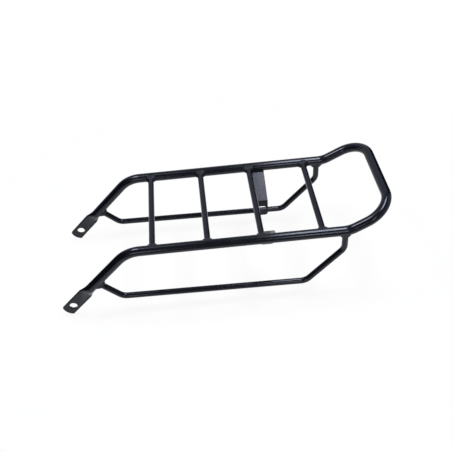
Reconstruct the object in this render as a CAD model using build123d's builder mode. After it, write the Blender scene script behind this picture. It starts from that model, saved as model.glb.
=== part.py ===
from build123d import *
import os
from math import asin, cos, pi, radians, sin, tan

# A welded steel luggage rack for the tail of a motorcycle, in millimetres.
# +X points to the rear, +Y to the rider's right and +Z up.
# The origin lies midway between the two front bolt holes, on their common axis.

# Stock
TUBE_OD = 16.0
TUBE_WALL = 1.5
ROD_DIA = 10.0
PLATE_THICK = 4.0
WELD_LEG = 4.5

# Main hoop: two rails joined by a raised tail, with a leg bent down at each front end
RAIL_SPACING = 195.0  # between the axes of the rails
LEG_ANGLE = 46.0  # fall of the legs, degrees below the rails
HOLE_TO_BEND = 152.7  # bolt hole to the rail's axis, measured along the leg
FRONT_BEND_RADIUS = 50.0
RAIL_LENGTH = 359.5  # front bend to tail kink, along the rail's axis
KINK_STAGGER = 2.5  # each kink's shift along X, the left one back and the right one forwards
KICK_ANGLE = 28.05  # rise of the tail, degrees above the rails
KICK_BEND_RADIUS = 40.0
KICK_LENGTH = 76.5  # tail kink to the axis of the cross run at the tail
TAIL_BEND_RADIUS = 44.0

# Flattened tube ends with the front bolt holes, measured along the leg from the hole
TAB_FLAT = 36.7  # hole up to where the flattening starts to swell
TAB_TIP = 19.3  # hole down to the tip
TAB_TIP_RADIUS = 19.0
TAB_CORNER_RADIUS = 3.0
TAB_HOLE_DIA = 14.0
TAPER_CLEARANCE = 1.0  # round tube left between the side rod's weld and the taper
BORE_NIP = 0.4  # height of the bore where the pressed walls close on it

# Cross bars, measured along the rails
FIRST_BAR = 42.0  # front bend back to the bar
SECOND_BAR = 132.0
THIRD_BAR = 220.0
FOURTH_BAR_AHEAD = 40.5  # tail kink forwards to the bar

# Side rods, hung below the rails in the planes of the rails
# Each foot stands square on its leg, and the left rod sits further back than the right one.
FOOT_UP_LEG = 65.35  # bolt hole to the foot of a rod, measured up the leg
FOOT_RUN = 51.3  # foot to the front low corner, square to the leg
ROD_STAGGER = 5.0  # each rod's shift along X from these middle sizes
LOW_DROP = 104.7  # rail axis down to the rear low corner
RISE_ANGLE = 47.0  # climb behind the rear low corner, degrees
KNEE_DROP = 38.0  # rail axis down to the knee
HEAD_AHEAD = 9.7  # tail kink forwards to the upright end of the rod
ROD_BEND_RADIUS = 20.0

# Inner brackets, bent from flat bar and butted against the rails
BRACKET_BEHIND_BAR = 15.1  # axis of the third bar back to the middle of the bracket
BRACKET_WIDTH = 25.0
BRACKET_SPREAD = 80.4  # between the folds of the two brackets, on their upper faces
BRACKET_SLOPE = 29.55  # fall of the sloping part, degrees
BRACKET_LEAN = 5.7  # lean of the upright part inwards, degrees
BRACKET_BELOW_AXIS = 2.14  # rail axis down to the line of the upper face, square to it
BRACKET_TAIL_DROP = 65.2  # rail axis down to the lower end
BRACKET_CORNER_RADIUS = 6.0
FOLD_OUTER_RADIUS = 2.5  # the fold is pressed to a crisp edge
FOLD_INNER_RADIUS = 0.5
BEAD_CLEARANCE = 0.5  # cross bar's weld to the bracket's beads
SLOT_LENGTH = 18.0
SLOT_HEIGHT = 9.0
SLOT_DROP = 50.9  # rail axis down to the middle of the slot

# Places worked out from the sizes above
LEG = Vector(cos(radians(LEG_ANGLE)), 0, sin(radians(LEG_ANGLE)))
ACROSS_LEG = Vector(-LEG.Z, 0, LEG.X)
BEND_X = HOLE_TO_BEND * LEG.X
RAIL_Z = HOLE_TO_BEND * LEG.Z
RAIL_Y = RAIL_SPACING / 2
TAB_THICK = 2 * TUBE_WALL
TAB_WIDTH = pi * (TUBE_OD - TUBE_WALL) / 2 + TUBE_WALL
TAPER_TOP = FOOT_UP_LEG - ROD_STAGGER * LEG.X - ROD_DIA / 2 - WELD_LEG - TAPER_CLEARANCE
SIDES = {"left": -1, "right": 1}


def leg_plane(along, side):
    """Plane square to a leg, at a distance up the leg from its bolt hole."""
    return Plane(along * LEG + Vector(0, side * RAIL_Y, 0), x_dir=ACROSS_LEG, z_dir=LEG)


def rail_point(station, drop, side):
    """Point at or below the axis of a rail, at a distance behind the front bend."""
    return Vector(BEND_X + station, side * RAIL_Y, RAIL_Z - drop)


def tube_run(diameter, end_width, end_height):
    """The hoop's round run and its two tapers, solid across the given section."""
    tail_station = RAIL_LENGTH + KICK_LENGTH * cos(radians(KICK_ANGLE))
    tail_rise = KICK_LENGTH * sin(radians(KICK_ANGLE))
    left_half, right_half = (
        [
            leg_plane(TAPER_TOP, side).origin,
            rail_point(0, 0, side),
            rail_point(RAIL_LENGTH - side * KINK_STAGGER, 0, side),
            rail_point(tail_station, -tail_rise, side),
        ]
        for side in SIDES.values()
    )
    bends = [FRONT_BEND_RADIUS, KICK_BEND_RADIUS, TAIL_BEND_RADIUS]
    with BuildPart() as run:
        with BuildLine() as axis:
            FilletPolyline(*left_half, *reversed(right_half), radius=bends + bends[::-1])
        with BuildSketch(leg_plane(TAPER_TOP, SIDES["left"])):
            Circle(diameter / 2)
        sweep(path=axis.line)
        for side in SIDES.values():
            with BuildSketch(leg_plane(TAPER_TOP, side)):
                Circle(diameter / 2)
            with BuildSketch(leg_plane(TAB_FLAT, side)):
                SlotOverall(end_width, end_height)
            loft()
    return run.part


def flat_tab(side):
    """A flattened tube end with its rounded tip."""
    edge = TAB_WIDTH / 2
    shoulder = TAB_TIP - TAB_TIP_RADIUS + (TAB_TIP_RADIUS**2 - edge**2) ** 0.5
    with BuildPart() as tab:
        with BuildSketch(leg_plane(TAB_FLAT, side)):
            SlotOverall(TAB_WIDTH, TAB_THICK)
        extrude(amount=-TAB_FLAT - TAB_TIP)
        with BuildSketch(Plane((0, side * RAIL_Y, 0), x_dir=-LEG, z_dir=(0, 1, 0))) as outline:
            with BuildLine():
                Polyline((shoulder, -edge), (-TAB_FLAT, -edge), (-TAB_FLAT, edge), (shoulder, edge))
                ThreePointArc((shoulder, edge), (TAB_TIP, 0), (shoulder, -edge))
            make_face()
            fillet(outline.vertices().sort_by(Axis.X)[-2:], TAB_CORNER_RADIUS)
        extrude(amount=TAB_THICK, both=True, mode=Mode.INTERSECT)
    return tab.part


def rod_weld(foot, direction):
    """The bead round a rod that stands on the hoop."""
    stand = Plane(foot, z_dir=direction)
    on_axis = (Align.CENTER, Align.CENTER, Align.MIN)
    reach = TUBE_OD + WELD_LEG
    with BuildPart() as bead:
        add(hoop_form.part)
        with Locations(stand):
            Cylinder(ROD_DIA / 2, reach, align=on_axis)
        rod_end = stand.origin + reach * stand.z_dir
        rod_wall = bead.faces().filter_by(GeomType.CYLINDER).sort_by_distance(rod_end)[0]
        seam = rod_wall.edges().filter_by(GeomType.LINE, reverse=True)
        chamfer(seam.filter_by(GeomType.CIRCLE, reverse=True), WELD_LEG)
        add(hoop_form.part, mode=Mode.SUBTRACT)
        with Locations(stand):
            Cylinder(ROD_DIA / 2, reach, align=on_axis, mode=Mode.SUBTRACT)
    return bead.part


def write(part, name):
    """Labels a finished piece and writes it."""
    part.label = name
    export_step(part, f"parts/{name}.step")


os.makedirs("parts", exist_ok=True)

# Outside form of the hoop, which the rods, plates and welds are fitted to
with BuildPart() as hoop_form:
    add(tube_run(TUBE_OD, TAB_WIDTH, TAB_THICK))
    for side in SIDES.values():
        add(flat_tab(side))

# Main hoop: the bent tube, closed where its ends are pressed flat
with BuildPart() as main_hoop:
    add(hoop_form.part)
    add(tube_run(TUBE_OD - 2 * TUBE_WALL, TAB_WIDTH - 2 * TUBE_WALL, BORE_NIP), mode=Mode.SUBTRACT)
    with BuildSketch(Plane.XZ):
        Circle(TAB_HOLE_DIA / 2)
    extrude(amount=RAIL_SPACING, both=True, mode=Mode.SUBTRACT)
write(main_hoop.part, "main_hoop")

# Inner brackets, butted against the rails, and the two beads that hold each of them
# Their profile is drawn from the rail's axis, first figure inwards and second figure up.
fall = Vector(cos(radians(BRACKET_SLOPE)), -sin(radians(BRACKET_SLOPE)))
square = Vector(-fall.Y, fall.X)
butt = -BRACKET_BELOW_AXIS * square
fold = butt + (RAIL_Y - BRACKET_SPREAD / 2 - butt.X) / fall.X * fall
inner = Vector(cos(radians(BRACKET_LEAN)), sin(radians(BRACKET_LEAN)))
tail = fold + (BRACKET_TAIL_DROP + fold.Y) * Vector(inner.Y / inner.X, -1)
lower_fold = fold - PLATE_THICK / (1 + square.dot(inner)) * (square + inner)
lower_tail = tail - PLATE_THICK * inner
lower_butt = butt - PLATE_THICK * square
upper_meet = asin(butt.dot(square) / (TUBE_OD / 2))
lower_meet = asin(lower_butt.dot(square) / (TUBE_OD / 2))
weld_turn = WELD_LEG / (TUBE_OD / 2)
bracket_rear = BRACKET_BEHIND_BAR + BRACKET_WIDTH / 2
bead_front = ROD_DIA / 2 + WELD_LEG + BEAD_CLEARANCE
brackets = {}
for name, side in SIDES.items():
    rail = rail_point(THIRD_BAR + BRACKET_BEHIND_BAR, 0, side)
    bead_middle = rail_point(THIRD_BAR + (bead_front + bracket_rear) / 2, 0, side)
    with BuildPart() as bracket:
        with BuildSketch(Plane(rail, x_dir=(0, -side, 0), z_dir=(-side, 0, 0))):
            with BuildLine():
                upper = FilletPolyline(butt, fold, tail, radius=FOLD_OUTER_RADIUS)
                lower = FilletPolyline(lower_butt, lower_fold, lower_tail, radius=FOLD_INNER_RADIUS)
                Line(upper @ 0, lower @ 0)
                Line(upper @ 1, lower @ 1)
            make_face()
        extrude(amount=BRACKET_WIDTH / 2, both=True)
        lower_end = bracket.faces().sort_by(Axis.Z)[0]
        lower_corners = lower_end.edges().filter_by(Axis.X, reverse=True)
        fillet(lower_corners, BRACKET_CORNER_RADIUS)
        with BuildSketch(Plane.XZ):
            with Locations((rail.X, RAIL_Z - SLOT_DROP)):
                SlotOverall(SLOT_LENGTH, SLOT_HEIGHT)
        extrude(amount=RAIL_Y, both=True, mode=Mode.SUBTRACT)
        add(hoop_form.part, mode=Mode.SUBTRACT)
    brackets[name] = bracket.part
    write(bracket.part, f"bracket_{name}")
    with BuildPart() as beads:
        slope = Plane(bead_middle, x_dir=(0, -side * fall.X, fall.Y), z_dir=(-side, 0, 0))
        with BuildSketch(slope):
            for meet, turn in ((upper_meet, weld_turn), (lower_meet, -weld_turn)):
                root = TUBE_OD / 2 * Vector(cos(meet), sin(meet))
                on_tube = TUBE_OD / 2 * Vector(cos(meet + turn), sin(meet + turn))
                Polygon(root, root + Vector(WELD_LEG, 0), on_tube, align=None)
            Circle(TUBE_OD / 2, mode=Mode.SUBTRACT)
        extrude(amount=(bracket_rear - bead_front) / 2, both=True)
    write(beads.part, f"bracket_welds_{name}")

# Cross bars, coped to the rails, and the weld at each end, which stops at a bracket in its way
bar_stations = (FIRST_BAR, SECOND_BAR, THIRD_BAR, RAIL_LENGTH - FOURTH_BAR_AHEAD)
for number, station in enumerate(bar_stations, start=1):
    with BuildPart() as cross_bar:
        with BuildSketch(Plane.XZ):
            with Locations((BEND_X + station, RAIL_Z)):
                Circle(ROD_DIA / 2)
        extrude(amount=RAIL_Y, both=True)
        add(hoop_form.part, mode=Mode.SUBTRACT)
    write(cross_bar.part, f"cross_bar_{number}")
    for name, side in SIDES.items():
        with BuildPart() as bar_weld:
            add(rod_weld(rail_point(station, 0, side), (0, -side, 0)))
            add(brackets[name], mode=Mode.SUBTRACT)
        write(bar_weld.part, f"cross_bar_{number}_weld_{name}")

# Side rods, coped to the leg and the rail, and the weld at each end
head_station = RAIL_LENGTH - HEAD_AHEAD
rear_low_station = head_station - (LOW_DROP - KNEE_DROP) / tan(radians(RISE_ANGLE))
for name, side in SIDES.items():
    shift = -side * ROD_STAGGER
    foot = leg_plane(FOOT_UP_LEG + shift * LEG.X, side).origin
    front_low = foot - (FOOT_RUN + shift * LEG.Z) * ACROSS_LEG
    rear_low = rail_point(rear_low_station + shift, LOW_DROP, side)
    knee = rail_point(head_station + shift, KNEE_DROP, side)
    head = rail_point(head_station + shift, 0, side)
    with BuildPart() as side_rod:
        with BuildLine() as axis:
            FilletPolyline(foot, front_low, rear_low, knee, head, radius=ROD_BEND_RADIUS)
        with BuildSketch(Plane(foot, z_dir=-ACROSS_LEG)):
            Circle(ROD_DIA / 2)
        sweep(path=axis.line)
        add(hoop_form.part, mode=Mode.SUBTRACT)
    write(side_rod.part, f"side_rod_{name}")
    write(rod_weld(foot, -ACROSS_LEG), f"side_rod_foot_weld_{name}")
    write(rod_weld(head, (0, 0, -1)), f"side_rod_head_weld_{name}")
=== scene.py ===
from math import acos, asin, cos, pi, radians, sin, sqrt, tan

import bmesh
import bpy
import numpy as np
from mathutils import Matrix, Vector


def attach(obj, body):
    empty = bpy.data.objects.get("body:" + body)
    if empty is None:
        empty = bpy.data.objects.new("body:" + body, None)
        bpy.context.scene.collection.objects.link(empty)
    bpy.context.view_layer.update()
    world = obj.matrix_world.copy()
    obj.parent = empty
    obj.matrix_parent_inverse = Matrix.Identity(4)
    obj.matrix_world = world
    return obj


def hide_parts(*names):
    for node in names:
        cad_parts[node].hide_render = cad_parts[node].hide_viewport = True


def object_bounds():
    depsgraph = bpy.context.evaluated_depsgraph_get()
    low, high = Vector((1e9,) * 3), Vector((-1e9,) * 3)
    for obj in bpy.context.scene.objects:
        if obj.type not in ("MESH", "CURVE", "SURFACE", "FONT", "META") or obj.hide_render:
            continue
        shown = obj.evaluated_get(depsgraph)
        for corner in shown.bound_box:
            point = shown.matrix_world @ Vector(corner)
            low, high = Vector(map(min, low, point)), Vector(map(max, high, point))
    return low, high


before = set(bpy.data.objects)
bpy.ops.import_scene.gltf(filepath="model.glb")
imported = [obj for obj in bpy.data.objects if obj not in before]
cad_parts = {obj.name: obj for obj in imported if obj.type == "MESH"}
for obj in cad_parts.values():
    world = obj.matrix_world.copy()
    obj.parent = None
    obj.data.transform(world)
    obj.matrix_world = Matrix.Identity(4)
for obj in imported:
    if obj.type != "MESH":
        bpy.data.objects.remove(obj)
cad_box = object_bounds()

# A welded motorcycle luggage rack in satin black powder coat.
# Sizes are in millimetres, in the frame of the solids: +X rearwards, +Y to the rider's right, +Z up,
# with the origin midway between the two front bolt holes.
MM = 0.001

# Stock
TUBE_OD = 16.0
TUBE_WALL = 1.5
ROD_DIA = 10.0
PLATE_THICK = 4.0
COAT = 0.15  # powder on each face of the tube and the rods

# Main hoop
RAIL_SPACING = 195.0
LEG_ANGLE = radians(46.0)
HOLE_TO_BEND = 152.7
FRONT_BEND_RADIUS = 50.0
RAIL_LENGTH = 359.5
KINK_STAGGER = 2.5
KICK_ANGLE = radians(28.05)
KICK_BEND_RADIUS = 40.0
KICK_LENGTH = 76.5
TAIL_BEND_RADIUS = 44.0

# Flattened tube ends
TAB_FLAT = 36.7
TAB_TIP = 19.3
TAB_TIP_RADIUS = 19.0
TAB_CORNER_RADIUS = 3.0
TAB_HOLE_DIA = 14.0
TAPER_TOP = 51.4

# Cross bars and side rods
BAR_STATIONS = (42.0, 132.0, 220.0, 319.0)
FOOT_UP_LEG = 65.35
FOOT_RUN = 51.3
ROD_STAGGER = 5.0
LOW_DROP = 104.7
RISE_ANGLE = radians(47.0)
KNEE_DROP = 38.0
HEAD_STATION = 349.8
ROD_BEND_RADIUS = 20.0

# Inner brackets
BRACKET_STATION = 235.1
BRACKET_WIDTH = 25.0
BRACKET_SPREAD = 80.4
BRACKET_SLOPE = radians(29.55)
BRACKET_LEAN = radians(5.7)
BRACKET_BELOW_AXIS = 2.14
BRACKET_TAIL_DROP = 65.2
BRACKET_CORNER_RADIUS = 6.0
FOLD_OUTER_RADIUS = 2.5
FOLD_INNER_RADIUS = 0.5
SLOT_LENGTH = 18.0
SLOT_HEIGHT = 9.0
SLOT_DROP = 50.9
BEAD_FRONT = 230.0  # where the bracket's beads start behind the third bar's weld

# Weld beads: their legs, how deep they reach into the metal, how uneven they are and their scale marks
BAR_BEAD = 5.2
FOOT_BEAD = 5.6
HEAD_BEAD = 6.0
PLATE_TOP_BEAD = 2.8
PLATE_UNDER_BEAD = 4.5
TOE_SUNK = 0.05
ROOT_SUNK = 0.3
SLOW_WAVE = 0.06  # shares by which the legs swell and shrink round a rod
QUICK_WAVE = 0.04
PLATE_WAVE = 0.05  # the same along a plate, and the length over which it comes and goes
PLATE_WAVE_LENGTH = 3.0
BEAD_END = 0.15  # share of its size that a bead along a plate has at its very ends
BEAD_RUN = 1.4  # length of a bead's crown against the rod's own girth
RIPPLE_PITCH = 1.76
RIPPLE_HEIGHT = 0.22
PLATE_RIPPLE_PITCH = 1.7
PLATE_RIPPLE_HEIGHT = 0.2
RIPPLE_LEAN = 0.9  # how far the marks sweep back in the middle of the bead
RIPPLE_EDGE = 1.5  # how sharp the marks are

# Fineness of the meshes and roundness of the cut edges
TUBE_SIDES = 72
ROD_SIDES = 48
HOLE_SIDES = 96
SLOT_SIDES = 64
BEND_STEP = radians(2.5)
TAPER_STEPS = 17
TAPER_EASE = 1.5  # how soon the pressed end opens out to the round tube
ARC_STEPS = 16
CORNER_STEPS = 10
FOLD_STEPS = 12
BAR_SHARES = (-1, -0.9, 0, 0.9, 1)  # rings along a cross bar, in shares of its half length
BEAD_STEPS = 9
ROD_BEAD_STEPS = 132
PLATE_BEAD_STEPS = 60
HALVINGS = 32
TAB_EDGE_ROUND = 0.45
TAB_EDGE_ANGLE = 55.0
PLATE_EDGE_ROUND = 0.4
PLATE_EDGE_ANGLE = 45.0
EDGE_STEPS = 3
ROD_END_ANGLE = 60.0  # edges sharper than this stay sharp in the shading of rods and beads
BEAD_EDGE_ANGLE = 70.0
ALL_SMOOTH = 180.0
ONE_POINT = 0.02  # corners of a cut that lie nearer than this are one
ONE_FACE = radians(0.2)  # faces that turn less than this are one
SUNK = 0.8  # how far a coped end sits in the wall of the tube that carries it

ALONG_NO_ROD = (1.0, 0.2, 0.1)
LEG = np.array((cos(LEG_ANGLE), 0, sin(LEG_ANGLE)))
ACROSS_LEG = np.array((-sin(LEG_ANGLE), 0, cos(LEG_ANGLE)))
BEND_X = HOLE_TO_BEND * cos(LEG_ANGLE)
RAIL_Z = HOLE_TO_BEND * sin(LEG_ANGLE)
RAIL_Y = RAIL_SPACING / 2
TUBE_RADIUS = TUBE_OD / 2 + COAT
ROD_RADIUS = ROD_DIA / 2 + COAT
TAB_THICK = 2 * TUBE_WALL + 2 * COAT
TAB_WIDTH = pi * (TUBE_OD - TUBE_WALL) / 2 + TUBE_WALL
SIDES = {"left": -1, "right": 1}


def unit(v):
    return v / np.linalg.norm(v)


def leg_point(up_leg, side):
    return up_leg * LEG + np.array((0, side * RAIL_Y, 0))


def rail_point(station, drop, side):
    return np.array((BEND_X + station, side * RAIL_Y, RAIL_Z - drop))


def bent_route(corners, bend_radii):
    """Places and headings along a bent tube or rod, straight between its round bends."""
    places = [corners[0]]
    headings = [unit(corners[1] - corners[0])]
    for before, corner, after, radius in zip(corners, corners[1:], corners[2:], bend_radii):
        arriving = unit(corner - before)
        leaving = unit(after - corner)
        turn = acos(arriving @ leaving)
        towards_centre = unit(leaving - (leaving @ arriving) * arriving)
        start = corner - radius * tan(turn / 2) * arriving
        for angle in np.linspace(0, turn, round(turn / BEND_STEP) + 1):
            places.append(start + radius * (sin(angle) * arriving + (1 - cos(angle)) * towards_centre))
            headings.append(cos(angle) * arriving + sin(angle) * towards_centre)
    places.append(corners[-1])
    headings.append(unit(corners[-1] - corners[-2]))
    return places, headings


def new_piece(name, points, faces):
    """A mesh piece of the rack from points in millimetres."""
    mesh = bpy.data.meshes.new(name)
    mesh.from_pydata([tuple(MM * p) for p in points], [], faces)
    piece = bpy.data.objects.new(name, mesh)
    bpy.context.scene.collection.objects.link(piece)
    return piece


def outward(piece):
    """Turns all faces of a closed piece outwards."""
    work = bmesh.new()
    work.from_mesh(piece.data)
    bmesh.ops.recalc_face_normals(work, faces=work.faces)
    work.to_mesh(piece.data)
    work.free()


def skin(rings, capped=True, closed_loop=False):
    """Points and faces of a skin drawn over rings that have the same number of points."""
    count = len(rings[0])
    points = np.concatenate(rings)
    faces = []
    last = len(rings) if closed_loop else len(rings) - 1
    for k in range(last):
        here = k * count
        there = ((k + 1) % len(rings)) * count
        for i in range(count):
            j = (i + 1) % count
            faces.append((here + i, here + j, there + j, there + i))
    if capped:
        faces.append(tuple(reversed(range(count))))
        faces.append(tuple(range((len(rings) - 1) * count, len(rings) * count)))
    return points, faces


def rings_along(places, headings, first_side, outlines):
    """Outline rings set square to a route, without twist."""
    rings = []
    side = first_side
    for place, heading, outline in zip(places, headings, outlines):
        side = unit(side - (side @ heading) * heading)
        other = np.cross(heading, side)
        rings.append(place + outline[:, :1] * side + outline[:, 1:] * other)
    return rings


def circle(radius, count):
    turn = np.linspace(0, 2 * pi, count, endpoint=False)
    return radius * np.stack((np.cos(turn), np.sin(turn)), 1)


def pressed_flat(width, thick, count):
    """Outline of a pressed tube end: flat sides with round edges, points spread evenly round it."""
    end = thick / 2
    reach = width / 2 - end
    around = 4 * reach + 2 * pi * end
    outline = []
    for k in range(count):
        s = (k * around / count + pi * end / 2) % around
        half, s = divmod(s, around / 2)
        flip = -1 if half else 1
        if s < pi * end:
            angle = s / end - pi / 2
            point = (reach + end * cos(angle), end * sin(angle))
        else:
            point = (reach - (s - pi * end), end)
        outline.append((flip * point[0], flip * point[1]))
    return np.array(outline)


def finished(piece, sharp_angle):
    """Smooth shading that keeps the piece's true edges."""
    piece.data.polygons.foreach_set("use_smooth", [True] * len(piece.data.polygons))
    piece.data.set_sharp_from_angle(angle=radians(sharp_angle))
    return piece


def applied(piece):
    """Replaces a piece's mesh by what its modifiers make of it."""
    graph = bpy.context.evaluated_depsgraph_get()
    shaped = bpy.data.meshes.new_from_object(piece.evaluated_get(graph))
    piece.modifiers.clear()
    piece.data = shaped
    shaped.name = piece.name


def cut_away(piece, cutters):
    """Cuts the given bodies out of a piece and removes them."""
    for cutter in cutters:
        cut = piece.modifiers.new("cut", "BOOLEAN")
        cut.operation = "DIFFERENCE"
        cut.solver = "EXACT"
        cut.object = cutter
    applied(piece)
    for cutter in cutters:
        bpy.data.objects.remove(cutter)


def eased_edges(piece, width, angle):
    """Rounds the sharp edges as blasting and powder do."""
    work = bmesh.new()
    work.from_mesh(piece.data)
    bmesh.ops.remove_doubles(work, verts=work.verts, dist=ONE_POINT * MM)
    bmesh.ops.dissolve_limit(work, angle_limit=ONE_FACE, verts=work.verts, edges=work.edges)
    work.to_mesh(piece.data)
    work.free()
    finished(piece, ALL_SMOOTH)
    ease = piece.modifiers.new("ease", "BEVEL")
    ease.width = width * MM
    ease.segments = EDGE_STEPS
    ease.limit_method = "ANGLE"
    ease.angle_limit = radians(angle)
    ease.use_clamp_overlap = True
    ease.harden_normals = True
    applied(piece)


# Main hoop: legs, rails and raised tail in one bent tube, with its ends pressed flat

def hoop_corners(first):
    tail_station = RAIL_LENGTH + KICK_LENGTH * cos(KICK_ANGLE)
    tail_rise = KICK_LENGTH * sin(KICK_ANGLE)
    left, right = (
        [leg_point(first, side), rail_point(0, 0, side),
         rail_point(RAIL_LENGTH - side * KINK_STAGGER, 0, side), rail_point(tail_station, -tail_rise, side)]
        for side in SIDES.values()
    )
    return left + right[::-1]


HOOP_BENDS = [FRONT_BEND_RADIUS, KICK_BEND_RADIUS, TAIL_BEND_RADIUS]
HOOP_BENDS += HOOP_BENDS[::-1]
hoop_axis = np.array(bent_route(hoop_corners(0.0), HOOP_BENDS)[0])


def tip_cutter(side):
    """Body that leaves the arc-shaped tip and its rounded corners on a flattened end."""
    edge = TAB_WIDTH / 2
    corner_across = edge - TAB_CORNER_RADIUS
    arc_centre = TAB_TIP - TAB_TIP_RADIUS
    corner_down = arc_centre + sqrt((TAB_TIP_RADIUS - TAB_CORNER_RADIUS) ** 2 - corner_across**2)
    meet = asin(corner_across / (TAB_TIP_RADIUS - TAB_CORNER_RADIUS))
    half = []
    for angle in np.linspace(0, meet, ARC_STEPS):
        half.append((TAB_TIP_RADIUS * sin(angle), arc_centre + TAB_TIP_RADIUS * cos(angle)))
    for angle in np.linspace(meet, pi / 2, CORNER_STEPS)[1:]:
        across = corner_across + TAB_CORNER_RADIUS * sin(angle)
        half.append((across, corner_down + TAB_CORNER_RADIUS * cos(angle)))
    half.append((edge + TAB_CORNER_RADIUS, corner_down - TAB_CORNER_RADIUS))
    half.append((edge + TAB_CORNER_RADIUS, TAB_TIP + 4 * TAB_CORNER_RADIUS))
    outline = half + [(-a, d) for a, d in reversed(half[1:])]
    rings = []
    for out in (-TAB_THICK, TAB_THICK):
        rings.append(np.array([leg_point(-d, side) + a * ACROSS_LEG + (0, out, 0) for a, d in outline]))
    cutter = new_piece("tip_cutter", *skin(rings))
    outward(cutter)
    return cutter


def hole_cutter(side):
    rings = []
    for out in (-TAB_THICK, TAB_THICK):
        ring = circle(TAB_HOLE_DIA / 2 - COAT, HOLE_SIDES)
        rings.append(np.array([(x, side * RAIL_Y + out, z) for x, z in ring]))
    cutter = new_piece("hole_cutter", *skin(rings))
    outward(cutter)
    return cutter


def main_hoop():
    taper = np.linspace(TAB_FLAT, TAPER_TOP, TAPER_STEPS + 1)[:-1]
    stations = [-TAB_TIP - 2 * TUBE_WALL, *taper]
    swell = np.clip((np.array(stations) - TAB_FLAT) / (TAPER_TOP - TAB_FLAT), 0, 1)
    round_form = circle(TUBE_RADIUS, TUBE_SIDES)
    flat_form = pressed_flat(TAB_WIDTH, TAB_THICK, TUBE_SIDES)
    end_forms = [round_form + (1 - s) ** TAPER_EASE * (flat_form - round_form) for s in swell]
    places, headings = bent_route(hoop_corners(TAPER_TOP), HOOP_BENDS)
    forms = end_forms + [round_form] * len(places) + end_forms[::-1]
    places = [leg_point(s, -1) for s in stations] + places + [leg_point(s, 1) for s in reversed(stations)]
    headings = [LEG] * len(stations) + headings + [-LEG] * len(stations)
    hoop = new_piece("bent_hoop", *skin(rings_along(places, headings, ACROSS_LEG, forms)))
    outward(hoop)
    cut_away(hoop, [cutter(side) for side in SIDES.values() for cutter in (tip_cutter, hole_cutter)])
    eased_edges(hoop, TAB_EDGE_ROUND, TAB_EDGE_ANGLE)
    return hoop


# Cross bars and side rods

def cross_bar(number):
    station = BAR_STATIONS[number - 1]
    ring = circle(ROD_RADIUS, ROD_SIDES)
    reach = RAIL_Y - np.sqrt(TUBE_RADIUS**2 - ring[:, 1] ** 2) + SUNK
    rings = []
    for share in BAR_SHARES:
        rings.append(np.stack((BEND_X + station + ring[:, 0], share * reach, RAIL_Z + ring[:, 1]), 1))
    bar = new_piece(f"round_bar_{number}", *skin(rings))
    outward(bar)
    return finished(bar, ROD_END_ANGLE)


def rod_corners(side):
    shift = -side * ROD_STAGGER
    foot = leg_point(FOOT_UP_LEG + shift * LEG[0], side)
    front_low = foot - (FOOT_RUN + shift * LEG[2]) * ACROSS_LEG
    rear_low_station = HEAD_STATION - (LOW_DROP - KNEE_DROP) / tan(RISE_ANGLE)
    rear_low = rail_point(rear_low_station + shift, LOW_DROP, side)
    knee = rail_point(HEAD_STATION + shift, KNEE_DROP, side)
    head = rail_point(HEAD_STATION + shift, 0, side)
    return [foot, front_low, rear_low, knee, head]


def side_rod(name, side):
    corners = rod_corners(side)
    trim = TUBE_RADIUS - TUBE_WALL + SUNK / 2
    corners[0] = corners[0] - trim * ACROSS_LEG
    corners[-1] = corners[-1] - (0, 0, trim)
    places, headings = bent_route(corners, [ROD_BEND_RADIUS] * (len(corners) - 2))
    ring = circle(ROD_RADIUS, ROD_SIDES)
    rings = rings_along(places, headings, np.array((0, 1.0, 0)), [ring] * len(places))
    rod = new_piece(f"bent_rod_{name}", *skin(rings))
    outward(rod)
    return finished(rod, ROD_END_ANGLE)


# Weld beads

def nearest_on_hoop(point):
    """The place on the hoop's axis that is nearest to a point."""
    starts = hoop_axis[:-1]
    runs = hoop_axis[1:] - starts
    share = np.clip(((point - starts) * runs).sum(1) / (runs * runs).sum(1), 0, 1)
    spots = starts + share[:, None] * runs
    return spots[np.argmin(((point - spots) ** 2).sum(1))]


def hoop_gap(point):
    """How far a point lies outside the hoop's tube."""
    return np.linalg.norm(point - nearest_on_hoop(point)) - TUBE_RADIUS


def bead_section(toe_a, root, toe_b, bulge):
    """Points across a bead from one toe to the other, with its crown raised by the ripple."""
    crown = unit((toe_a + toe_b) / 2 - root)
    section = []
    for v in np.linspace(0, 1, BEAD_STEPS):
        section.append((1 - v) * toe_a + v * toe_b + bulge(v) * crown)
    section.append(root)
    return section


def ripple(along, pitch, height):
    """Scale marks that the puddle left along a bead, swept back in the middle."""
    def bulge(v):
        phase = pi * along / pitch + RIPPLE_LEAN * (2 * v - 1) ** 2
        return height * sin(pi * v) * (1 - abs(sin(phase)) ** RIPPLE_EDGE)
    return bulge


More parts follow.
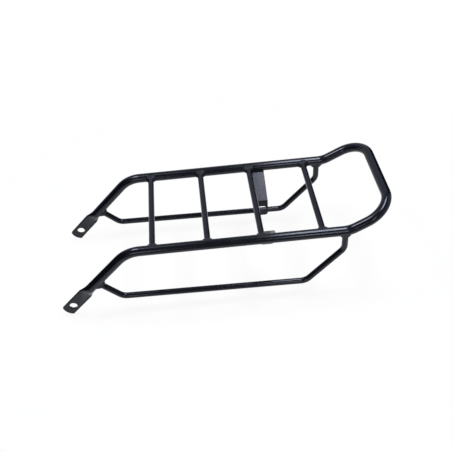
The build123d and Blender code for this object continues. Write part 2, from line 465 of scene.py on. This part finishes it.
def rod_bead(name, foot, direction, leg, seed):
    """The bead round a rod that stands on the hoop."""
    direction = unit(np.array(direction, float))
    side = unit(np.cross(direction, ALONG_NO_ROD))
    other = np.cross(direction, side)
    turns = np.linspace(0, 2 * pi, ROD_BEAD_STEPS, endpoint=False)
    roots = []
    for turn in turns:
        base = foot + ROD_RADIUS * (cos(turn) * side + sin(turn) * other)
        low, high = 1.0, 2 * TUBE_OD
        for _ in range(HALVINGS):
            mid = (low + high) / 2
            if hoop_gap(base + mid * direction) > 0:
                high = mid
            else:
                low = mid
        roots.append(base + high * direction)
    roots = np.array(roots)
    rings = []
    for k, turn in enumerate(turns):
        root = roots[k]
        from_rod = unit(cos(turn) * side + sin(turn) * other)
        wall = unit(root - nearest_on_hoop(root))
        away = np.cross(wall, roots[(k + 1) % ROD_BEAD_STEPS] - roots[k - 1])
        away = unit(away) if away @ from_rod > 0 else -unit(away)
        uneven = 1 + SLOW_WAVE * sin(2 * turn + seed) + QUICK_WAVE * sin(5 * turn + 2 * seed)
        toe_rod = root + uneven * leg * direction - TOE_SUNK * from_rod
        on_tube = root + uneven * leg * away
        axis_spot = nearest_on_hoop(on_tube)
        toe_tube = axis_spot + (TUBE_RADIUS - TOE_SUNK) * unit(on_tube - axis_spot)
        marks = ripple(turn * ROD_RADIUS * BEAD_RUN, RIPPLE_PITCH, RIPPLE_HEIGHT)
        rings.append(np.array(bead_section(toe_rod, root - ROOT_SUNK * from_rod, toe_tube, marks)))
    bead = new_piece(name, *skin(rings, capped=False, closed_loop=True))
    outward(bead)
    return finished(bead, BEAD_EDGE_ANGLE)


def bracket_lines(side):
    """The rail's axis beside a bracket and the plate's directions: inwards and down, and square to it."""
    axis = rail_point(BRACKET_STATION, 0, side)
    fall = np.array((0, -side * cos(BRACKET_SLOPE), -sin(BRACKET_SLOPE)))
    square = np.array((0, -side * sin(BRACKET_SLOPE), cos(BRACKET_SLOPE)))
    return axis, fall, square


def bracket_beads(name, side, seed):
    """The two beads along the butted end of a bracket, one above and one below the plate."""
    axis, fall, square = bracket_lines(side)
    rear = BRACKET_STATION + BRACKET_WIDTH / 2
    stations = np.linspace(BEAD_FRONT, rear, PLATE_BEAD_STEPS)
    points, faces = [], []
    above = (-BRACKET_BELOW_AXIS, 1, PLATE_TOP_BEAD)
    below = (-BRACKET_BELOW_AXIS - PLATE_THICK, -1, PLATE_UNDER_BEAD)
    for height, up, size in (above, below):
        meet = asin(height / TUBE_RADIUS)
        rings = []
        for station in stations:
            near_end = min(station - BEAD_FRONT, rear - station) / size
            full = sqrt(1 - (1 - min(near_end, 1)) ** 2) * (1 - BEAD_END) + BEAD_END
            leg = size * full * (1 + PLATE_WAVE * sin(station / PLATE_WAVE_LENGTH + seed))
            turned = meet + up * leg / TUBE_RADIUS
            here = axis + (station - BRACKET_STATION, 0, 0)
            root = here + TUBE_RADIUS * (cos(meet) * fall + sin(meet) * square)
            toe_plate = root + leg * fall - TOE_SUNK * up * square
            toe_tube = here + (TUBE_RADIUS - TOE_SUNK) * (cos(turned) * fall + sin(turned) * square)
            marks = ripple(station, PLATE_RIPPLE_PITCH, PLATE_RIPPLE_HEIGHT * full)
            inner = root - ROOT_SUNK * up * square - ROOT_SUNK * fall
            rings.append(np.array(bead_section(toe_plate, inner, toe_tube, marks)))
        bead_points, bead_faces = skin(rings)
        start = len(points)
        points.extend(bead_points)
        faces.extend(tuple(start + i for i in face) for face in bead_faces)
    beads = new_piece(name, points, faces)
    outward(beads)
    return finished(beads, BEAD_EDGE_ANGLE)


# Inner brackets

def rounded_corner(corner, before, after, radius):
    """Points of a round bend between two straight lines."""
    arriving = unit(corner - before)
    leaving = unit(after - corner)
    turn = acos(arriving @ leaving)
    centre_way = unit(leaving - (leaving @ arriving) * arriving)
    start = corner - radius * tan(turn / 2) * arriving
    angles = np.linspace(0, turn, FOLD_STEPS)
    return [start + radius * (sin(a) * arriving + (1 - cos(a)) * centre_way) for a in angles]


def bracket(name, side):
    axis, fall, square = bracket_lines(side)
    inwards = np.array((0, -side, 0.0))
    down = np.array((0, 0, -1.0))
    upright = cos(BRACKET_LEAN) * down + sin(BRACKET_LEAN) * inwards
    inner = cos(BRACKET_LEAN) * inwards - sin(BRACKET_LEAN) * down
    sunk_radius = TUBE_RADIUS - SUNK / 2

    def butt(depth):
        return axis - depth * square + sqrt(sunk_radius**2 - depth**2) * fall

    foot = axis - BRACKET_BELOW_AXIS * square
    fold = foot + (RAIL_Y - BRACKET_SPREAD / 2 - (foot - axis) @ inwards) / (fall @ inwards) * fall
    tail = fold + (BRACKET_TAIL_DROP - (axis - fold)[2]) / cos(BRACKET_LEAN) * upright
    under_fold = fold - PLATE_THICK / (1 + square @ inner) * (square + inner)
    under_tail = tail - PLATE_THICK * inner
    top, under = butt(BRACKET_BELOW_AXIS), butt(BRACKET_BELOW_AXIS + PLATE_THICK)
    upper = [top, *rounded_corner(fold, top, tail, FOLD_OUTER_RADIUS), tail]
    lower = [under, *rounded_corner(under_fold, under, under_tail, FOLD_INNER_RADIUS), under_tail]
    profile = np.array(upper + lower[::-1])
    rings = [profile + (x, 0, 0) for x in (-BRACKET_WIDTH / 2, BRACKET_WIDTH / 2)]
    plate = new_piece(f"inner_bracket_{name}", *skin(rings))
    outward(plate)

    def on_upright(x, up):
        return tail - up * upright + (x, 0, 0)

    through = 3 * PLATE_THICK * inner
    cutters = []
    for end in (-1, 1):
        edge = end * BRACKET_WIDTH / 2
        heart = edge - end * BRACKET_CORNER_RADIUS
        outline = []
        for a in np.linspace(0, pi / 2, ARC_STEPS):
            x = heart + end * BRACKET_CORNER_RADIUS * cos(a)
            outline.append(on_upright(x, BRACKET_CORNER_RADIUS * (1 - sin(a))))
        outline.append(on_upright(heart, -BRACKET_CORNER_RADIUS))
        outline.append(on_upright(edge + end * BRACKET_CORNER_RADIUS, -BRACKET_CORNER_RADIUS))
        outline.append(on_upright(edge + end * BRACKET_CORNER_RADIUS, BRACKET_CORNER_RADIUS))
        outline = np.array(outline)
        cutters.append(new_piece("corner_cutter", *skin([outline - through, outline + through])))
    reach = (SLOT_LENGTH - SLOT_HEIGHT) / 2
    slot_up = (BRACKET_TAIL_DROP - SLOT_DROP) / cos(BRACKET_LEAN)
    slot = []
    for a in np.linspace(0, 2 * pi, SLOT_SIDES, endpoint=False):
        x = SLOT_HEIGHT / 2 * cos(a) + (reach if cos(a) >= 0 else -reach)
        slot.append(on_upright(x, slot_up + SLOT_HEIGHT / 2 * sin(a)))
    slot = np.array(slot)
    cutters.append(new_piece("slot_cutter", *skin([slot - through, slot + through])))
    for cutter in cutters:
        outward(cutter)
    cut_away(plate, cutters)
    eased_edges(plate, PLATE_EDGE_ROUND, PLATE_EDGE_ANGLE)
    return plate


# Powder coat

def new_group(name, inputs, outputs):
    """A shader node group with named sockets, and its two end nodes."""
    group = bpy.data.node_groups.new(name, "ShaderNodeTree")
    for socket, kind, value in inputs:
        made = group.interface.new_socket(socket, in_out="INPUT", socket_type=kind)
        made.default_value = value
    for socket, kind in outputs:
        group.interface.new_socket(socket, in_out="OUTPUT", socket_type=kind)
    return group, group.nodes.new("NodeGroupInput"), group.nodes.new("NodeGroupOutput")


def node(tree, kind, **settings):
    made = tree.nodes.new(kind)
    for key, value in settings.items():
        setattr(made, key, value)
    return made


def powder_skin():
    """Height of the cured powder: soft orange peel with a finer grain on it."""
    group, given, result = new_group(
        "powder_skin",
        [("Peel Size", "NodeSocketFloat", 420.0), ("Grain Size", "NodeSocketFloat", 2600.0),
         ("Grain Share", "NodeSocketFloat", 0.25)],
        [("Height", "NodeSocketFloat")],
    )
    link = group.links.new
    place = node(group, "ShaderNodeTexCoord")
    peel = node(group, "ShaderNodeTexNoise")
    peel.inputs["Detail"].default_value = 1.0
    grain = node(group, "ShaderNodeTexNoise")
    grain.inputs["Detail"].default_value = 2.0
    mix = node(group, "ShaderNodeMix", data_type="FLOAT")
    link(place.outputs["Object"], peel.inputs["Vector"])
    link(place.outputs["Object"], grain.inputs["Vector"])
    link(given.outputs["Peel Size"], peel.inputs["Scale"])
    link(given.outputs["Grain Size"], grain.inputs["Scale"])
    link(given.outputs["Grain Share"], mix.inputs["Factor"])
    link(peel.outputs["Fac"], mix.inputs["A"])
    link(grain.outputs["Fac"], mix.inputs["B"])
    link(mix.outputs["Result"], result.inputs["Height"])
    return group


def powder_tone():
    """Colour and roughness of the coat: faint clouds where it lies thicker, and fine pale specks."""
    group, given, result = new_group(
        "powder_tone",
        [("Thin Coat", "NodeSocketColor", (0.01, 0.01, 0.01, 1)),
         ("Thick Coat", "NodeSocketColor", (0.02, 0.02, 0.02, 1)),
         ("Speck", "NodeSocketColor", (0.016, 0.017, 0.022, 1)), ("Cloud Size", "NodeSocketFloat", 45.0),
         ("Smoothest", "NodeSocketFloat", 0.26), ("Roughest", "NodeSocketFloat", 0.36)],
        [("Colour", "NodeSocketColor"), ("Roughness", "NodeSocketFloat")],
    )
    link = group.links.new
    place = node(group, "ShaderNodeTexCoord")
    cloud = node(group, "ShaderNodeTexNoise")
    cloud.inputs["Detail"].default_value = 3.0
    spots = node(group, "ShaderNodeTexNoise")
    spots.inputs["Scale"].default_value = 1500.0
    spots.inputs["Detail"].default_value = 0.0
    pick = node(group, "ShaderNodeMapRange")
    pick.inputs["From Min"].default_value = 0.70
    pick.inputs["From Max"].default_value = 0.78
    spread = node(group, "ShaderNodeMapRange")
    spread.inputs["From Min"].default_value = 0.3
    spread.inputs["From Max"].default_value = 0.7
    coat = node(group, "ShaderNodeMix", data_type="RGBA")
    specked = node(group, "ShaderNodeMix", data_type="RGBA")
    rough = node(group, "ShaderNodeMapRange")
    rough.inputs["From Min"].default_value = 0.0
    rough.inputs["From Max"].default_value = 1.0
    link(place.outputs["Object"], cloud.inputs["Vector"])
    link(place.outputs["Object"], spots.inputs["Vector"])
    link(given.outputs["Cloud Size"], cloud.inputs["Scale"])
    link(cloud.outputs["Fac"], spread.inputs["Value"])
    link(spots.outputs["Fac"], pick.inputs["Value"])
    link(spread.outputs["Result"], coat.inputs["Factor"])
    link(given.outputs["Thin Coat"], coat.inputs["A"])
    link(given.outputs["Thick Coat"], coat.inputs["B"])
    link(pick.outputs["Result"], specked.inputs["Factor"])
    link(coat.outputs["Result"], specked.inputs["A"])
    link(given.outputs["Speck"], specked.inputs["B"])
    link(specked.outputs["Result"], result.inputs["Colour"])
    link(spread.outputs["Result"], rough.inputs["Value"])
    link(given.outputs["Smoothest"], rough.inputs["To Min"])
    link(given.outputs["Roughest"], rough.inputs["To Max"])
    link(rough.outputs["Result"], result.inputs["Roughness"])
    return group


SHEEN_TINT = (0.80, 0.84, 1.0, 1.0)
tone_group = powder_tone()
skin_group = powder_skin()


def satin_black(name, *, sheen, thin, thick, smoothest, roughest, peel_depth, peel_size):
    """One powder-coat finish, made from the shared tone and skin."""
    paint = bpy.data.materials.new(name)
    paint.use_nodes = True
    tree = paint.node_tree
    shader = tree.nodes["Principled BSDF"]
    shader.inputs["Specular IOR Level"].default_value = sheen
    shader.inputs["Specular Tint"].default_value = SHEEN_TINT
    coat = node(tree, "ShaderNodeGroup", node_tree=tone_group)
    coat.inputs["Thin Coat"].default_value = (*thin, 1)
    coat.inputs["Thick Coat"].default_value = (*thick, 1)
    coat.inputs["Smoothest"].default_value = smoothest
    coat.inputs["Roughest"].default_value = roughest
    relief = node(tree, "ShaderNodeGroup", node_tree=skin_group)
    relief.inputs["Peel Size"].default_value = peel_size
    bump = node(tree, "ShaderNodeBump")
    bump.inputs["Strength"].default_value = 1.0
    bump.inputs["Distance"].default_value = peel_depth * MM
    tree.links.new(coat.outputs["Colour"], shader.inputs["Base Color"])
    tree.links.new(coat.outputs["Roughness"], shader.inputs["Roughness"])
    tree.links.new(relief.outputs["Height"], bump.inputs["Height"])
    tree.links.new(bump.outputs["Normal"], shader.inputs["Normal"])
    return paint


paints = {
    "hoop_paint": satin_black(
        "satin_black_tube", sheen=0.36, thin=(0.0026, 0.0029, 0.0048), thick=(0.0036, 0.0040, 0.0066),
        smoothest=0.13, roughest=0.18, peel_depth=0.004, peel_size=420.0),
    "rod_paint": satin_black(
        "satin_black_rod", sheen=0.36, thin=(0.0028, 0.0031, 0.0051), thick=(0.0042, 0.0046, 0.0074),
        smoothest=0.15, roughest=0.20, peel_depth=0.004, peel_size=460.0),
    "bracket_paint": satin_black(
        "satin_black_plate", sheen=0.36, thin=(0.0030, 0.0033, 0.0054), thick=(0.0042, 0.0046, 0.0074),
        smoothest=0.24, roughest=0.32, peel_depth=0.015, peel_size=380.0),
    "weld_paint": satin_black(
        "satin_black_bead", sheen=0.24, thin=(0.0030, 0.0033, 0.0054), thick=(0.0044, 0.0048, 0.0078),
        smoothest=0.40, roughest=0.52, peel_depth=0.05, peel_size=520.0),
}


def fit(piece, slot, *nodes):
    """Paints a piece and puts it in the place of its solids."""
    piece.data.materials.clear()
    piece.data.materials.append(paints[slot])
    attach(piece, "root")
    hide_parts(*nodes)


fit(main_hoop(), "hoop_paint", "main_hoop")
for number, station in enumerate(BAR_STATIONS, start=1):
    fit(cross_bar(number), "rod_paint", f"cross_bar_{number}")
    for name, side in SIDES.items():
        on_rail = rail_point(station, 0, side)
        bead = rod_bead(f"bar_bead_{number}_{name}", on_rail, (0, -side, 0), BAR_BEAD, number + side)
        fit(bead, "weld_paint", f"cross_bar_{number}_weld_{name}")
for name, side in SIDES.items():
    fit(side_rod(name, side), "rod_paint", f"side_rod_{name}")
    corners = rod_corners(side)
    foot_bead = rod_bead(f"foot_bead_{name}", corners[0], -ACROSS_LEG, FOOT_BEAD, 6 + side)
    fit(foot_bead, "weld_paint", f"side_rod_foot_weld_{name}")
    head_bead = rod_bead(f"head_bead_{name}", corners[-1], (0, 0, -1), HEAD_BEAD, 9 + side)
    fit(head_bead, "weld_paint", f"side_rod_head_weld_{name}")
    fit(bracket(name, side), "bracket_paint", f"bracket_{name}")
    fit(bracket_beads(f"bracket_beads_{name}", side, 12 + side), "weld_paint", f"bracket_welds_{name}")


# Studio: a pale floor and backdrop, dim walls and soft lights. Sheets are in millimetres, lights in metres.
FLOOR_GAP = 0.3
FLOOR_REACH = 4000
RACK_MIDDLE = (0.27, 0.0, cad_box[0][2])
WALL_COLOUR = (0.88, 0.93, 1, 1)
WALL_LEVEL = 0.23
LAMP_COLOUR = (0.96, 0.97, 1.0)
# place, aim, width, height and brightness of the face
SOFTBOXES = {
    "overhead_softbox": ((0.71, 0.10, 1.60), (0.42, 0.0, 0.1), 0.42, 0.95, 14.3),
    "left_softbox": ((-0.18, 0.10, 1.15), (0.30, 0.0, 0.1), 0.30, 0.36, 16.0),
    "bridge_softbox": ((0.07, 0.10, 1.27), (0.30, 0.0, 0.1), 0.20, 0.34, 2.6),
    "front_softbox": ((0.66, -1.5, 0.85), (0.40, 0.0, 0.1), 0.28, 0.7, 5.1),
    "low_left_softbox": ((-0.18, -1.5, 0.50), (0.12, 0.0, 0.1), 0.46, 0.36, 5.2),
}
CAMERA_PLACE = (0.22814, -0.91514, 0.86438)
CAMERA_TILT = radians(50.0)
CAMERA_ROLL = radians(-5.667)


def white_to_the_eye(tree):
    """Mask of the rays that see the paper itself, straight, mirrored or through glass."""
    path = node(tree, "ShaderNodeLightPath")
    first = node(tree, "ShaderNodeMath", operation="MAXIMUM")
    second = node(tree, "ShaderNodeMath", operation="MAXIMUM")
    tree.links.new(path.outputs["Is Camera Ray"], first.inputs[0])
    tree.links.new(path.outputs["Is Glossy Ray"], first.inputs[1])
    tree.links.new(first.outputs["Value"], second.inputs[0])
    tree.links.new(path.outputs["Is Transmission Ray"], second.inputs[1])
    return second.outputs["Value"]


def studio_walls():
    """Dim even surroundings."""
    world = bpy.data.worlds.new("studio_walls")
    world.use_nodes = True
    light = world.node_tree.nodes["Background"]
    light.inputs["Color"].default_value = WALL_COLOUR
    light.inputs["Strength"].default_value = WALL_LEVEL
    bpy.context.scene.world = world


def paper(name, colour, shadow_share):
    """Paper that shows its written colour, with a share of real light near the rack that keeps its shadow."""
    sheet = bpy.data.materials.new(name)
    sheet.use_nodes = True
    tree = sheet.node_tree
    tree.nodes.remove(tree.nodes["Principled BSDF"])
    link = tree.links.new
    place = node(tree, "ShaderNodeTexCoord")
    away = node(tree, "ShaderNodeVectorMath", operation="DISTANCE")
    away.inputs[1].default_value = RACK_MIDDLE
    near = node(tree, "ShaderNodeMapRange", interpolation_type="SMOOTHSTEP")
    near.inputs["From Min"].default_value = 0.35
    near.inputs["From Max"].default_value = 0.75
    near.inputs["To Min"].default_value = 1.0 - shadow_share
    near.inputs["To Max"].default_value = 1.0
    share = node(tree, "ShaderNodeMath", operation="MULTIPLY")
    lit = node(tree, "ShaderNodeBsdfDiffuse")
    lit.inputs["Color"].default_value = (0.9, 0.9, 0.9, 1)
    plain = node(tree, "ShaderNodeEmission")
    plain.inputs["Color"].default_value = (*colour, 1)
    mix = node(tree, "ShaderNodeMixShader")
    link(place.outputs["Object"], away.inputs[0])
    link(away.outputs["Value"], near.inputs["Value"])
    link(near.outputs["Result"], share.inputs[0])
    link(white_to_the_eye(tree), share.inputs[1])
    link(share.outputs["Value"], mix.inputs["Fac"])
    link(lit.outputs["BSDF"], mix.inputs[1])
    link(plain.outputs["Emission"], mix.inputs[2])
    link(mix.outputs["Shader"], tree.nodes["Material Output"].inputs["Surface"])
    return sheet


def stage_sheet(name, corners, material):
    sheet = new_piece(name, np.array(corners, float), [(0, 1, 2, 3)])
    sheet.data.materials.append(material)
    return sheet


def upright_sheet(name, start, end, top, material):
    """A sheet that stands on the floor from one place to another."""
    corners = [(*start, floor_z), (*end, floor_z), (*end, top), (*start, top)]
    return stage_sheet(name, corners, material)


def softbox(name, place, aim, width, height, brightness):
    """A rectangular soft light whose face has the given brightness, against white at 1."""
    lamp = bpy.data.lights.new(name, "AREA")
    lamp.shape = "RECTANGLE"
    lamp.size = width
    lamp.size_y = height
    lamp.energy = brightness * pi * width * height
    lamp.color = LAMP_COLOUR
    light = bpy.data.objects.new(name, lamp)
    back = unit(np.array(place) - np.array(aim))
    across = unit(np.array((1.0, 0, 0)) - back[0] * back)
    facing = Matrix((across, np.cross(back, across), back)).transposed()
    light.matrix_world = Matrix.LocRotScale(place, facing, None)
    bpy.context.scene.collection.objects.link(light)


floor_z = cad_box[0][2] / MM - FLOOR_GAP
floor_signs = ((-1, -1), (1, -1), (1, 1), (-1, 1))
stage_sheet("studio_floor", [(a * FLOOR_REACH, b * FLOOR_REACH, floor_z) for a, b in floor_signs],
            paper("white_paper", (1, 1, 1), 0.1))
upright_sheet("studio_backdrop", (-2600, 2200), (1500, 2200), 3200,
              paper("grey_paper", (0.58, 0.62, 0.72), 0.0))

# Dark and dim cards beside the legs and round the rack, which only the gloss of the paint mirrors
felt = bpy.data.materials.new("black_felt")
felt.use_nodes = True
felt_shader = felt.node_tree.nodes["Principled BSDF"]
felt_shader.inputs["Base Color"].default_value = (0.01, 0.01, 0.01, 1)
felt_shader.inputs["Specular IOR Level"].default_value = 0.0
dim_paper = paper("dim_paper", (0.50, 0.53, 0.60), 0.0)
for card in (
    upright_sheet("leg_flag", (-120, -500), (-120, 150), 350, felt),
    upright_sheet("front_flag", (-120, -500), (1000, -500), 90, felt),
    upright_sheet("tail_flag", (720, 60), (720, 600), 340, felt),
    upright_sheet("tail_card", (720, -400), (720, 60), 340, dim_paper),
):
    card.visible_camera = False
    card.visible_diffuse = False
    card.visible_shadow = False

studio_walls()
for name, settings in SOFTBOXES.items():
    softbox(name, *settings)

camera = bpy.data.cameras.new("camera")
camera.lens = 55.06
camera.sensor_width = 36.0
camera.shift_x = 0.0607
camera.shift_y = -0.0297
eye = bpy.data.objects.new("camera", camera)
turned = Matrix.Rotation(CAMERA_TILT, 4, "X") @ Matrix.Rotation(CAMERA_ROLL, 4, "Z")
eye.matrix_world = Matrix.Translation(CAMERA_PLACE) @ turned
bpy.context.scene.collection.objects.link(eye)
bpy.context.scene.camera = eye
bpy.context.scene.view_settings.view_transform = "Standard"
